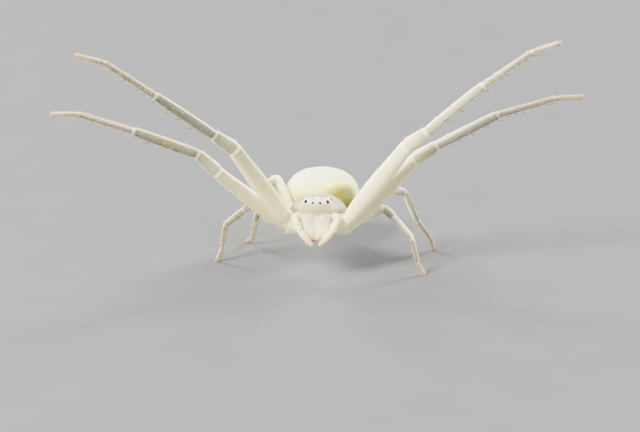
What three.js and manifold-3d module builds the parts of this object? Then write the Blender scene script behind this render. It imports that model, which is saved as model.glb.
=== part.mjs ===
// A life-size white crab spider, standing on its two hind pairs of legs with the two front pairs
// spread wide. Millimetres, +Z up, the face towards -Y, the feet on Z = 0.
import * as THREE from "three";
import { mergeVertices } from "three/addons/utils/BufferGeometryUtils.js";
import Module from "manifold-3d";

const wasm = await Module();
wasm.setup();

// Stance: the body is carried with its head up and its rear turned a little to +X.
const headUp = THREE.MathUtils.degToRad(12);
const rearToRight = THREE.MathUtils.degToRad(3.2);
const shoulderHeight = 3.06; // from the floor to the middle of the head and thorax
const middle = { x: -0.07, y: 0.92 }; // from the middle of the thorax to the middle of the whole

// Gaps between the parts, which scale with so small an animal.
const rootGap = 0.1;
const fineGap = 0.04;

// Head and thorax: half width, top and edge at places along the back, in the body's own frame.
const carapaceEdge = -0.2;
const carapaceMiddle = -0.04;
const carapaceFullness = 1.6;
const carapacePlan = [
  { y: -1.5, half: 0.68, top: 0.4 },
  { y: -1.44, half: 0.8, top: 0.58 },
  { y: -1.28, half: 0.9, top: 0.73 },
  { y: -1.0, half: 1.02, top: 0.81 },
  { y: -0.5, half: 1.27, top: 0.86 },
  { y: 0.1, half: 1.43, top: 0.88 },
  { y: 0.65, half: 1.38, top: 0.8 },
  { y: 1.08, half: 1.08, top: 0.58 },
  { y: 1.33, half: 0.7, top: 0.32 },
  { y: 1.42, half: 0.42, top: 0.12 },
];

// Abdomen: narrow in front, widest past the middle and above the middle of its height.
const abdomenFullness = 2.2;
const abdomenWidestAt = 0.53;
const abdomenPlan = [
  { y: 1.78, half: 0.42, top: 0.46, bottom: -0.3 },
  { y: 1.86, half: 0.9, top: 0.92, bottom: -0.58 },
  { y: 2.12, half: 1.28, top: 1.34, bottom: -0.88 },
  { y: 2.7, half: 1.62, top: 1.7, bottom: -1.12 },
  { y: 3.45, half: 1.82, top: 1.86, bottom: -1.2 },
  { y: 4.25, half: 1.86, top: 1.82, bottom: -1.12 },
  { y: 5.0, half: 1.62, top: 1.58, bottom: -0.86 },
  { y: 5.5, half: 1.18, top: 1.22, bottom: -0.48 },
  { y: 5.8, half: 0.62, top: 0.8, bottom: -0.06 },
  { y: 5.86, half: 0.24, top: 0.5, bottom: 0.2 },
];

// Sternum: the shield between the legs' roots.
const sternum = { front: -0.78, back: 0.98, half: 0.62, top: -0.34, bottom: -0.98 };

// Eyes: how far each pair stands from the middle, its height on the head and its lens's radius.
const eyePairs = {
  front_middle: { x: 0.17, z: 0.44, radius: 0.065 },
  front_side: { x: 0.51, z: 0.48, radius: 0.09 },
  rear_middle: { x: 0.2, z: 0.68, radius: 0.055 },
  rear_side: { x: 0.62, z: 0.56, radius: 0.08 },
};
const eyeStandsOut = 0.45; // share of the radius by which a lens's middle stands off the head

// Legs: lengths and fullest radii of the segments, thicker where a real one is under the least size.
const segmentNames = ["femur", "patella", "tibia", "metatarsus", "tarsus"];
const thinnestRadius = 0.22;
const tipRadius = 0.15;
const legSizes = {
  leg1: { lengths: [5.01, 1.31, 3.64, 2.89, 1.37], radii: [0.44, 0.34, 0.27, 0.17, 0.12], sides: 10 },
  leg2: { lengths: [4.76, 1.35, 3.34, 2.84, 1.33], radii: [0.4, 0.32, 0.26, 0.16, 0.12], sides: 10 },
  leg3: { lengths: [2.12, 0.75, 1.38, 1.28, 0.7], radii: [0.27, 0.22, 0.18, 0.14, 0.11], sides: 8 },
  leg4: { lengths: [2.89, 0.94, 1.79, 1.15, 0.75], radii: [0.28, 0.22, 0.18, 0.14, 0.11], sides: 8 },
};
// How a segment swells along its length, as shares of its fullest radius.
const swelling = {
  coxa: [0.8, 0.95, 1.0, 0.95],
  trochanter: [0.92, 1.0, 0.85],
  femur: [0.66, 0.92, 1.0, 0.97, 0.86, 0.72],
  patella: [0.86, 0.98, 1.0, 0.95, 0.86],
  tibia: [0.94, 1.0, 0.97, 0.88],
  metatarsus: [1.0, 0.96, 0.86],
  tarsus: [1.0, 1.0, 0.96, 0.8],
};
// Where each leg grows from the sternum, and the joint where its femur begins, in the body's frame.
const legRoots = {
  leg1: { root: [0.6, -0.86, -0.64], hip: [1.4, -0.98, -0.5], radius: 0.35 },
  leg2: { root: [0.74, -0.32, -0.78], hip: [1.5, -0.2, -0.86], radius: 0.35 },
  leg3: { root: [0.7, 0.28, -0.74], hip: [1.34, 0.5, -0.84], radius: 0.28 },
  leg4: { root: [0.5, 0.8, -0.64], hip: [1.12, 1.16, -0.72], radius: 0.27 },
};
const hipShare = 0.74; // the coxa takes this share of the way to the hip, and the trochanter the rest
// Each segment's direction: degrees forward of straight out to the side, and degrees above level.
// The last segment of a leg that stands turns down until it meets the floor.
const legPoses = {
  leg1_right: [[29, 54], [19, 39], [19, 37], [3, 35], [-1, 14]],
  leg1_left: [[12, 53], [16, 40], [9, 42], [9, 37], [7, 21]],
  leg2_right: [[20, 41], [4, 46], [7, 22], [-13, 14], [-8, -3]],
  leg2_left: [[1, 47], [7, 36], [2, 28], [5, 18], [4, 5]],
  leg3_right: [[-3, 32], [-29, -36], [-18, -41], [-7, -83], [-2, -70]],
  leg3_left: [[4, 27], [36, -30], [35, -40], [16, -78], [10, -61]],
  leg4_right: [[-66, 34], [-5, -38], [6, -77], [-75, -60], [-60, -40]],
  leg4_left: [[-24, 29], [-22, -15], [-28, -65], [-18, -54], [-18, -67]],
};

// Fangs, jaws and palps, in the body's own frame, for the +X side.
const jaw = [
  { at: [0.4, -1.24, -0.2], wide: 0.3, deep: 0.22 },
  { at: [0.41, -1.36, -0.34], wide: 0.37, deep: 0.3 },
  { at: [0.4, -1.42, -0.52], wide: 0.38, deep: 0.34 },
  { at: [0.36, -1.46, -0.75], wide: 0.34, deep: 0.31 },
  { at: [0.28, -1.49, -1.0], wide: 0.26, deep: 0.25 },
  { at: [0.2, -1.5, -1.2], wide: 0.175, deep: 0.17 },
  { at: [0.14, -1.5, -1.33], wide: 0.11, deep: 0.11 },
];
const fang = { root: [0.12, -1.53, -1.4], tip: [0.04, -1.4, -1.49], radius: 0.055 };
const palp = {
  joints: [[0.55, -1.1, -0.5], [0.98, -1.42, -0.15], [1.04, -1.62, -0.38], [0.8, -1.76, -0.88], [0.2, -1.8, -1.68]],
  radii: [0.16, 0.2, 0.2, 0.175],
  swelling: [[0.8, 1.0, 0.95], [0.9, 1.0, 0.92], [0.95, 1.0, 0.92], [0.95, 1.0, 0.85, 0.5]],
};
const mouthparts = { from: [0, -0.98, -0.6], to: [0, -1.06, -1.14], wide: 0.3, deep: 0.12 };
const spinneret = { root: [0.13, 5.42, -0.68], tip: [0.1, 5.78, -0.86], radius: 0.13, pairs: 3 };
const waist = { from: 1.5, to: 1.7, height: -0.04, radius: 0.2 };

const paint = {
  carapace: [0xdcdccb, 0.42],
  abdomen: [0xf4f4dd, 0.38],
  leg: [0xe2e2cf, 0.4],
  jaw: [0xe4dfc8, 0.35],
  fang: [0xb4581c, 0.3],
  eye: [0x120b08, 0.12],
};

// Solids

// A geometry with its vertices merged and its faces turned outward.
function tidy(geometry) {
  const bare = new THREE.BufferGeometry();
  bare.setAttribute("position", geometry.getAttribute("position").clone());
  bare.setIndex(geometry.index);
  const merged = mergeVertices(bare, 1e-4);
  const p = merged.attributes.position;
  const index = merged.index.array;
  const [a, b, c] = [new THREE.Vector3(), new THREE.Vector3(), new THREE.Vector3()];
  let volume = 0;
  for (let i = 0; i < index.length; i += 3) {
    a.fromBufferAttribute(p, index[i]);
    b.fromBufferAttribute(p, index[i + 1]);
    c.fromBufferAttribute(p, index[i + 2]);
    volume += a.dot(b.cross(c)) / 6;
  }
  if (volume < 0) {
    for (let i = 0; i < index.length; i += 3) {
      [index[i + 1], index[i + 2]] = [index[i + 2], index[i + 1]];
    }
  }
  return merged;
}

function solidOf(geometry) {
  const clean = tidy(geometry);
  const mesh = new wasm.Mesh({
    numProp: 3,
    vertProperties: clean.attributes.position.array,
    triVerts: new Uint32Array(clean.index.array),
  });
  return new wasm.Manifold(mesh);
}

// The solid's largest closed surface, as a geometry.
function geometryOf(solid) {
  const largest = solid.decompose().sort((a, b) => b.volume() - a.volume())[0];
  const mesh = largest.getMesh();
  const geometry = new THREE.BufferGeometry();
  geometry.setAttribute("position", new THREE.BufferAttribute(mesh.vertProperties, 3));
  geometry.setIndex(new THREE.BufferAttribute(mesh.triVerts, 1));
  return geometry;
}

const joined = (solids) => solids.reduce((whole, next) => whole.add(next));

// A closed surface over rings of as many points each, with a fan over both ends.
function loft(rings) {
  const around = rings[0].length;
  const ends = [rings[0], rings.at(-1)].map((ring) =>
    ring.reduce((sum, point) => sum.add(point), new THREE.Vector3()).divideScalar(around)
  );
  const index = [];
  for (let r = 0; r + 1 < rings.length; r++) {
    for (let i = 0; i < around; i++) {
      const [a, b] = [r * around + i, r * around + ((i + 1) % around)];
      index.push(a, b, b + around, a, b + around, a + around);
    }
  }
  const first = rings.length * around;
  const lastRing = first - around;
  for (let i = 0; i < around; i++) {
    const next = (i + 1) % around;
    index.push(next, i, first, lastRing + i, lastRing + next, first + 1);
  }
  return new THREE.BufferGeometry().setFromPoints([...rings.flat(), ...ends]).setIndex(index);
}

// A value along evenly or freely spaced stations, on a smooth curve through them.
function smooth(values, t) {
  const points = values.map((value, i) => new THREE.Vector2(i, value));
  return new THREE.SplineCurve(points).getPoint(t).y;
}

// A ring across the body: a superellipse whose widest line lies between its top and bottom.
function bodyRing({ y, half, top, bottom }, widest, fullness, around) {
  const power = 2 / fullness;
  return Array.from({ length: around }, (_, i) => {
    const angle = (2 * Math.PI * i) / around;
    const [c, s] = [Math.cos(angle), Math.sin(angle)];
    const reach = s > 0 ? top - widest : widest - bottom;
    const x = half * Math.sign(c) * Math.abs(c) ** power;
    return new THREE.Vector3(x, y, widest + reach * Math.sign(s) * Math.abs(s) ** power);
  });
}

// A segment from one joint to the next, domed at both ends and swelling as its list of shares says.
function segment(from, to, radius, shares, sides, thinnest = 0, flatness = 1) {
  const [start, end] = [new THREE.Vector3(...from), new THREE.Vector3(...to)];
  const axis = end.clone().sub(start);
  const length = axis.length();
  axis.normalize();
  const across = new THREE.Vector3(0, 0, 1).cross(axis).normalize();
  const over = axis.clone().cross(across);
  const steps = shares.length - 1;
  const radiusAt = (t) => Math.max(radius * smooth(shares, t), thinnest);
  const stations = Array.from({ length: steps + 1 }, (_, i) => [(length * i) / steps, radiusAt(i / steps)]);
  const dome = [[0.7, 0.66]];
  const before = dome.map(([out, share]) => [-out * radiusAt(0), share * radiusAt(0)]).reverse();
  const after = dome.map(([out, share]) => [length + out * radiusAt(1), share * radiusAt(1)]);
  const rings = [...before, ...stations, ...after].map(([along, r]) =>
    Array.from({ length: sides }, (_, i) => {
      const angle = (2 * Math.PI * i) / sides;
      return start
        .clone()
        .addScaledVector(axis, along)
        .addScaledVector(across, r * flatness * Math.cos(angle))
        .addScaledVector(over, r * Math.sin(angle));
    })
  );
  return solidOf(loft(rings));
}

const mirrored = ([x, y, z], side) => [x * side, y, z];
const sides = { left: 1, right: -1 }; // the spider's own left is at +X

// Body frame

const spider = new THREE.Group();
const body = new THREE.Group();
body.position.set(-middle.x, -middle.y, shoulderHeight);
body.rotation.set(-headUp, 0, -rearToRight, "ZXY");
spider.add(body);
spider.updateMatrixWorld(true);

function add(group, name, solid, [colour, roughness]) {
  const material = new THREE.MeshStandardMaterial({ color: colour, roughness, metalness: 0 });
  const mesh = new THREE.Mesh(geometryOf(solid), material);
  mesh.name = name;
  group.add(mesh);
}

// A solid made in the body's frame, in the frame of the whole.
function stood(solid) {
  return solid.transform(body.matrixWorld.toArray());
}

// Head and thorax

function carapaceSolid(grow = 0) {
  const rings = carapacePlan.map((station) =>
    bodyRing(
      { y: station.y, half: station.half + grow, top: station.top + grow, bottom: carapaceEdge - grow },
      carapaceMiddle,
      carapaceFullness,
      24
    )
  );
  return solidOf(loft(rings));
}

function sternumSolid(grow = 0) {
  const { front, back, half, top, bottom } = sternum;
  const steps = 7;
  const rings = Array.from({ length: steps + 1 }, (_, i) => {
    const t = i / steps;
    const y = front - grow + t * (back - front + 2 * grow);
    const share = smooth([0.42, 0.92, 1.0, 0.88, 0.6, 0.2], t);
    return bodyRing(
      { y, half: half * share + grow, top: top + grow, bottom: bottom - grow + 0.12 * (1 - share) },
      (top + bottom) / 2,
      2.6,
      16
    );
  });
  return solidOf(loft(rings));
}

// The point on the head's front or top at a distance from the middle and a height.
function onHead(x, z) {
  const power = carapaceFullness;
  const near = carapacePlan.findIndex(({ half, top }) => {
    const up = (z - carapaceMiddle) / (top - carapaceMiddle);
    return (x / half) ** power + up ** power <= 1;
  });
  const inside = ({ half, top }) =>
    (x / half) ** power + ((z - carapaceMiddle) / (top - carapaceMiddle)) ** power;
  if (near === 0) return [x, carapacePlan[0].y, z];
  const [outer, inner] = [carapacePlan[near - 1], carapacePlan[near]];
  const share = (inside(outer) - 1) / (inside(outer) - inside(inner));
  return [x, outer.y + share * (inner.y - outer.y), z];
}

function ball([x, y, z], radius) {
  const geometry = new THREE.SphereGeometry(radius, 10, 6);
  geometry.translate(x, y, z);
  return solidOf(geometry);
}

const headMiddle = new THREE.Vector3(0, -0.6, 0.1);

function eyePlaces() {
  const places = [];
  for (const [pair, { x, z, radius }] of Object.entries(eyePairs)) {
    for (const [side, sign] of Object.entries(sides)) {
      const spot = new THREE.Vector3(...onHead(x, z));
      const outward = spot.clone().sub(headMiddle).normalize();
      spot.addScaledVector(outward, eyeStandsOut * radius);
      places.push({ name: `eye_${pair}_${side}`, at: [spot.x * sign, spot.y, spot.z], radius });
    }
  }
  return places;
}

const eyes = eyePlaces();
let carapace = carapaceSolid();
for (const { at, radius } of eyes) {
  carapace = carapace.subtract(ball(at, radius + fineGap));
}
add(body, "carapace", carapace, paint.carapace);
for (const { name, at, radius } of eyes) {
  add(body, name, ball(at, radius), paint.eye);
}
add(body, "sternum", sternumSolid(), paint.carapace);

// Jaws, fangs, palps and mouthparts

function jawSolid(side, grow = 0) {
  const rings = jaw.map(({ at, wide, deep }) =>
    Array.from({ length: 12 }, (_, i) => {
      const angle = (2 * Math.PI * i) / 12;
      return new THREE.Vector3(
        side * at[0] + (wide + grow) * Math.cos(angle),
        at[1] + (deep + grow) * Math.sin(angle),
        at[2]
      );
    })
  );
  return solidOf(loft(rings));
}

// The coxa and trochanter of a leg, in the body's frame.
function hipSolid(kind, side, grow = 0) {
  const { root, hip, radius } = legRoots[kind];
  const [inner, outer] = [new THREE.Vector3(...mirrored(root, side)), new THREE.Vector3(...mirrored(hip, side))];
  const knuckle = inner.clone().lerp(outer, hipShare).toArray();
  const around = legSizes[kind].sides;
  return segment(inner.toArray(), knuckle, radius + grow, swelling.coxa, around).add(
    segment(knuckle, outer.toArray(), 0.95 * radius + grow, swelling.trochanter, around)
  );
}

function palpSolid(side) {
  const pieces = palp.radii.map((radius, i) => {
    const [from, to] = [palp.joints[i], palp.joints[i + 1]].map((joint) => mirrored(joint, side));
    return segment(from, to, radius, palp.swelling[i], 8);
  });
  return joined(pieces);
}

const headCutter = carapaceSolid(rootGap).add(sternumSolid(rootGap));
const jawCutter = carapaceSolid(fineGap);
for (const [name, side] of Object.entries(sides)) {
  add(body, `chelicera_${name}`, jawSolid(side).subtract(jawCutter), paint.jaw);
  const fangSolid = segment(mirrored(fang.root, side), mirrored(fang.tip, side), fang.radius, [1, 0.75, 0.4], 8);
  add(body, `fang_${name}`, fangSolid.subtract(jawSolid(side)), paint.fang);
  const palpCutter = headCutter.add(jawSolid(side, fineGap)).add(hipSolid("leg1", side, fineGap));
  add(body, `pedipalp_${name}`, palpSolid(side).subtract(palpCutter), paint.leg);
}
const mouth = segment(mouthparts.from, mouthparts.to, mouthparts.deep, [1, 1, 0.8], 12, 0, mouthparts.wide / mouthparts.deep);
const mouthCutter = Object.values(sides).reduce(
  (cutter, side) => cutter.add(jawSolid(side, fineGap)).add(hipSolid("leg1", side, fineGap)),
  headCutter
);
add(body, "mouthparts", mouth.subtract(mouthCutter), paint.jaw);

// Abdomen, its waist and spinnerets

function abdomenSolid(grow = 0) {
  const rings = abdomenPlan.map(({ y, half, top, bottom }) => {
    const widest = bottom + abdomenWidestAt * (top - bottom);
    return bodyRing({ y, half: half + grow, top: top + grow, bottom: bottom - grow }, widest, abdomenFullness, 24);
  });
  return solidOf(loft(rings));
}

function spinneretSolid() {
  const pieces = [];
  for (let i = 0; i < spinneret.pairs; i++) {
    for (const side of Object.values(sides)) {
      const [x, y, z] = spinneret.root;
      const step = 0.14 * i;
      const from = [side * x * (1 - 0.2 * i), y - step, z - 0.4 * step];
      const to = [side * spinneret.tip[0], spinneret.tip[1] - step, spinneret.tip[2] - 0.3 * step];
      pieces.push(segment(from, to, spinneret.radius, [1, 0.9, 0.6], 8));
    }
  }
  return joined(pieces);
}

add(body, "abdomen", abdomenSolid(), paint.abdomen);
add(body, "spinnerets", spinneretSolid().subtract(abdomenSolid(rootGap)), paint.abdomen);
const waistSolid = segment([0, waist.from, waist.height], [0, waist.to, waist.height], waist.radius, [1, 0.9, 1], 12);
add(body, "pedicel", waistSolid.subtract(carapaceSolid(fineGap)).subtract(abdomenSolid(fineGap)), paint.carapace);

// Legs

function stepAlong(from, [forward, up], length, side) {
  const [f, u] = [forward, up].map(THREE.MathUtils.degToRad);
  const [x, y, z] = from;
  return [
    x + side * length * Math.cos(u) * Math.cos(f),
    y - length * Math.cos(u) * Math.sin(f),
    z + length * Math.sin(u),
  ];
}

// A leg's joints from its hip to its tip, in the frame of the whole.
function legJoints(kind, sideName) {
  const side = sides[sideName];
  const hip = body.localToWorld(new THREE.Vector3(...mirrored(legRoots[kind].hip, side)));
  const joints = [hip.toArray()];
  legPoses[`${kind}_${sideName}`].forEach(([forward, up], i) => {
    const length = legSizes[kind].lengths[i];
    const from = joints.at(-1);
    const stands = kind === "leg3" || kind === "leg4";
    const last = i === segmentNames.length - 1;
    const down = -THREE.MathUtils.radToDeg(Math.asin(Math.min(from[2] / length, 1)));
    joints.push(stepAlong(from, [forward, stands && last ? down : up], length, side));
  });
  return joints;
}

function legSolid(kind, sideName) {
  const joints = legJoints(kind, sideName);
  const { radii, sides: around } = legSizes[kind];
  const pieces = segmentNames.map((name, i) => {
    const thinnest = name === "tarsus" ? tipRadius : thinnestRadius;
    return segment(joints[i], joints[i + 1], Math.max(radii[i], thinnest), swelling[name], around);
  });
  return joined([stood(hipSolid(kind, sides[sideName])), ...pieces]);
}

const floorBlock = new THREE.BoxGeometry(40, 40, 4);
floorBlock.translate(0, 0, -2);
const underFloor = solidOf(floorBlock);
const bodyCutter = stood(headCutter.add(abdomenSolid(rootGap)));

Object.keys(legSizes).forEach((kind, i, kinds) => {
  for (const [sideName, side] of Object.entries(sides)) {
    let leg = legSolid(kind, sideName).subtract(bodyCutter).subtract(underFloor);
    if (i > 0) leg = leg.subtract(stood(hipSolid(kinds[i - 1], side, fineGap)));
    add(spider, `${kind}_${sideName}`, leg, paint.leg);
  }
});

export default spider;
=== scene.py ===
"""A white crab spider on a plain pale floor, seen from the front and a little above.

Lengths are in millimetres until a mesh is made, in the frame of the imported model. The body's own
frame has its origin in the middle of the head and thorax, +X to the spider's left and +Y to its rear.
"""

import math
from functools import partial

import bpy
import numpy as np
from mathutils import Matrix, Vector
from mathutils.bvhtree import BVHTree
from mathutils.kdtree import KDTree


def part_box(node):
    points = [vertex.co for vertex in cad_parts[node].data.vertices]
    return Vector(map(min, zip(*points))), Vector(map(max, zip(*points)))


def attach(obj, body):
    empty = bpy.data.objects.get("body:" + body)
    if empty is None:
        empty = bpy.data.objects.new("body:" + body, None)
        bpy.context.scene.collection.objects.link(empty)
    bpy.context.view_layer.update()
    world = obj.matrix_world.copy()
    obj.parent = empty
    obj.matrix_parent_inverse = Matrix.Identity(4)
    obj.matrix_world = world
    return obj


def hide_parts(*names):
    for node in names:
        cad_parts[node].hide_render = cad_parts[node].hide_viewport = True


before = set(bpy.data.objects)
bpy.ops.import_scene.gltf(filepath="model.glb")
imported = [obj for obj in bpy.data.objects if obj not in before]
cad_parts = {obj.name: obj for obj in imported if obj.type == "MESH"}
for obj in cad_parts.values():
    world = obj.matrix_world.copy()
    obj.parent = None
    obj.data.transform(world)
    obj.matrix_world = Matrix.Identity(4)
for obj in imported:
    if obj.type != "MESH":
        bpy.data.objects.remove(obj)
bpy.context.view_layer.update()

MM = 0.001
SIDES = {"left": 1, "right": -1}
rng = np.random.default_rng(7)
QUARTER_TURN = math.pi / 2
TURN = 2 * math.pi

# Stance, as in the solids

HEAD_UP = math.radians(12)
REAR_TO_RIGHT = math.radians(3.2)
SHOULDER = np.array([0.07, -0.92, 3.06])

# Head and thorax: half width, top and edge at places along the back

CARAPACE_EDGE = -0.2
CARAPACE_MIDDLE = -0.04
CARAPACE_FULLNESS = 1.7
CARAPACE_PLAN = [
    # y, half width, top
    (-1.5, 0.68, 0.4),
    (-1.44, 0.8, 0.58),
    (-1.28, 0.9, 0.73),
    (-1.0, 1.02, 0.81),
    (-0.5, 1.27, 0.86),
    (0.1, 1.43, 0.88),
    (0.65, 1.38, 0.8),
    (1.08, 1.08, 0.58),
    (1.33, 0.7, 0.32),
    (1.42, 0.42, 0.12),
]

# Abdomen

ABDOMEN_FULLNESS = 2.2
ABDOMEN_WIDEST_AT = 0.53
ABDOMEN_PLAN = [
    # y, half width, top, bottom
    (1.78, 0.42, 0.46, -0.3),
    (1.86, 0.9, 0.92, -0.58),
    (2.12, 1.28, 1.34, -0.88),
    (2.7, 1.62, 1.7, -1.12),
    (3.45, 1.82, 1.86, -1.2),
    (4.25, 1.86, 1.82, -1.12),
    (5.0, 1.62, 1.58, -0.86),
    (5.5, 1.18, 1.22, -0.48),
    (5.8, 0.62, 0.8, -0.06),
    (5.86, 0.24, 0.5, 0.2),
]

# Spinnerets on the +X side, from the rearmost

SPINNERETS = [
    # root, tip, radius
    ((0.13, 5.42, -0.66), (0.19, 5.75, -0.8), 0.13),
    ((0.07, 5.3, -0.72), (0.08, 5.58, -0.9), 0.1),
    ((0.13, 5.14, -0.78), (0.2, 5.42, -0.98), 0.14),
]

# Eyes: lens radius, and the radius of the pale mound around it

EYE_PAIRS = {
    "front_middle": (0.075, 0.135),
    "front_side": (0.1, 0.17),
    "rear_middle": (0.06, 0.115),
    "rear_side": (0.085, 0.15),
}
EYE_STANDS_OUT = 0.45
# How far the rear eyes are turned back from looking straight out
EYE_TURNS = {"rear_middle": (0, 0.75, 0.5), "rear_side": (0.35, 0.42, 0)}
HEAD_MIDDLE = np.array([0, -0.6, 0.1])
MOUND_PROFILE = [
    # radius as shares of the mound's and of the lens's, height as a share of the mound's radius, tone
    (1, 0, -0.6, 0.5),
    (1, 0, -0.05, 0.5),
    (0.95, 0, 0.14, 0.9),
    (0.86, 0, 0.3, 1.0),
    (0.3, 0.6, 0.37, 1.0),
    (0, 1.04, 0.34, 0.2),
    (0, 0.9, 0.26, 0.0),
]
MOUND_AROUND = 24

# How far the skin rises to the eyes, and dips behind the head and in the middle of the thorax

EYE_LIFT = 0.035
NECK_DEPTH = 0.035
FOVEA_DEPTH = 0.05

# Furrows from the middle of the thorax, in degrees from straight ahead, and the pits of the abdomen

FURROW_CENTRE = 0.4
FURROWS = [38, 72, 108, 144]
FURROW_DEPTH = 0.022
PITS = [(-0.98, 2.5), (0.98, 2.7), (0.0, 2.9), (0.42, 3.3), (-0.42, 3.3), (0.5, 4.05), (-0.5, 4.05)]
PIT_DEPTH = 0.03
PIT_SPREAD = 0.04
PIT_RADIUS = 0.065

# Legs: segments numbered from the root, and lengths from the femur on

COXA, TROCHANTER, FEMUR, PATELLA, TIBIA, METATARSUS, TARSUS, TIP = range(8)
LONG_LEGS = ("leg1", "leg2")
LEG_AROUND = 28
LEG_LENGTHS = {
    "leg1": [5.01, 1.31, 3.64, 2.89, 1.37],
    "leg2": [4.76, 1.35, 3.34, 2.84, 1.33],
    "leg3": [2.12, 0.75, 1.38, 1.28, 0.7],
    "leg4": [2.89, 0.94, 1.79, 1.15, 0.75],
}
LEG_RADII = {
    "leg1": [0.41, 0.37, 0.44, 0.335, 0.262, 0.165, 0.112],
    "leg2": [0.39, 0.36, 0.4, 0.32, 0.25, 0.158, 0.11],
    "leg3": [0.28, 0.26, 0.25, 0.2, 0.165, 0.125, 0.1],
    "leg4": [0.27, 0.25, 0.26, 0.21, 0.165, 0.125, 0.1],
}
SWELLING = {
    COXA: [0.8, 0.95, 1.0, 0.95],
    TROCHANTER: [0.92, 1.0, 0.85],
    FEMUR: [0.68, 0.84, 0.95, 1.0, 0.99, 0.93, 0.86, 0.8],
    PATELLA: [0.94, 1.0, 1.0, 0.95, 0.86],
    TIBIA: [0.92, 1.0, 1.0, 0.98, 0.94, 0.86],
    METATARSUS: [0.98, 0.97, 0.9, 0.84, 0.78],
    TARSUS: [0.98, 1.0, 0.98, 0.98, 0.9],
}
LEG_ROOTS = {
    # root at the sternum, and the hip where the femur begins
    "leg1": ((0.56, -0.88, -0.82), (1.4, -0.98, -0.53)),
    "leg2": ((0.74, -0.32, -0.78), (1.5, -0.2, -0.86)),
    "leg3": ((0.7, 0.28, -0.74), (1.34, 0.5, -0.84)),
    "leg4": ((0.5, 0.8, -0.64), (1.12, 1.16, -0.72)),
}
HIP_SHARE = 0.74
KNEE_HUMP = 0.2
CLAW_CLEARANCE = 0.004
# Degrees forward of straight out to the side, and degrees above level
LEG_POSES = {
    "leg1_right": [(29, 54), (19, 39), (19, 37), (3, 35), (-1, 14)],
    "leg1_left": [(12, 53), (16, 40), (9, 42), (9, 37), (7, 21)],
    "leg2_right": [(20, 41), (4, 46), (7, 22), (-13, 14), (-8, -3)],
    "leg2_left": [(1, 47), (7, 36), (2, 28), (5, 18), (4, 5)],
    "leg3_right": [(-3, 32), (-29, -36), (-18, -41), (-7, -83), (-2, -70)],
    "leg3_left": [(4, 27), (36, -30), (35, -40), (16, -78), (10, -61)],
    "leg4_right": [(-66, 34), (-5, -38), (6, -77), (-75, -60), (-60, -40)],
    "leg4_left": [(-24, 29), (-22, -15), (-28, -65), (-18, -54), (-18, -67)],
}
# Tones at the start of a segment and at the tip
LEG_TONES = {COXA: 0.66, FEMUR: 0.58, PATELLA: 0.36, TIBIA: 0.14, METATARSUS: 0.1, TARSUS: 0.02, TIP: 0.25}
# How much paler a leg is from its tibia on, or darker where below 0: painted light on the lit left legs,
# painted shade on the right ones
LEG_SIDE_PAINTED_LIGHT = {"leg1_left": 0.22, "leg2_left": 0.08, "leg1_right": -0.1, "leg2_right": -0.08}
# The left legs' whiter cast is painted light, the look of the lit side
LIT_LEGS_BLUE = 1.22  # how much more blue the left legs carry
# Hairs for each millimetre of a segment, and the length of those that are golden
HAIR_DENSITY = {COXA: 60, TROCHANTER: 70, FEMUR: 42, PATELLA: 60, TIBIA: 55, METATARSUS: 190, TARSUS: 330}
HAIR_LENGTH = 0.1
GOLDEN_LENGTHS = {METATARSUS: 0.16, TARSUS: 0.15}

# Jaws, fangs and palps, for the +X side

JAW = [
    # x, y, z, half width, half depth
    (0.37, -1.22, 0.0, 0.3, 0.24),
    (0.38, -1.32, -0.1, 0.35, 0.29),
    (0.388, -1.37, -0.26, 0.38, 0.33),
    (0.38, -1.4, -0.5, 0.376, 0.335),
    (0.346, -1.44, -0.76, 0.344, 0.31),
    (0.28, -1.48, -1.0, 0.278, 0.25),
    (0.2, -1.5, -1.2, 0.196, 0.17),
    (0.135, -1.5, -1.34, 0.13, 0.11),
]
JAW_AROUND = 40
JAW_ROUNDNESS = 0.86
FANG_JOINTS = [(0.13, -1.52, -1.32), (0.1, -1.53, -1.45), (0.03, -1.4, -1.49)]
FANG_RADIUS = 0.06
FANG_SWELLING = [[1, 0.9, 0.78], [1, 0.6, 0.2]]
PALP_JOINTS = [
    (0.55, -1.1, -0.5),
    (0.98, -1.42, -0.15),
    (1.04, -1.62, -0.38),
    (0.8, -1.76, -0.88),
    (0.22, -1.8, -1.56),
]
PALP_RADII = [0.17, 0.215, 0.21, 0.18]
PALP_SWELLING = [[0.8, 1.0, 0.95], [0.9, 1.0, 0.94], [0.96, 1.0, 0.94], [0.95, 1.0, 0.92, 0.78, 0.5]]

# Sternum, its outline as shares of its half width, and how much thinner it is where it is narrow

STERNUM = {"front": -0.78, "back": 0.98, "half": 0.62, "top": -0.1, "widest": -0.55, "bottom": -0.98}
STERNUM_OUTLINE = [0.42, 0.92, 1.0, 0.88, 0.6, 0.2]
STERNUM_THINNING = 0.12
STERNUM_FULLNESS = 2.6

# The one skin round all the flesh, and the folds between parts that are filled near the body

SKIN_VOXEL = 0.032
SMOOTHING = (0.5, -0.52)  # a step towards the neighbours and a step back, so that the flesh keeps its size
FOLD_REACH = 2.1  # how near to the head's middle folds are filled
FOLD_EDGE = 0.12
FOLD_DEPTH = 0.03  # how deep a fold is, in voxels, where it is filled in full
FOLD_ROUNDS = 30
FOLD_STEP = 0.6
MARK_STRENGTH = 0.85

# Colours: stops of a tone from 0 to 1 and its colour

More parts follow.
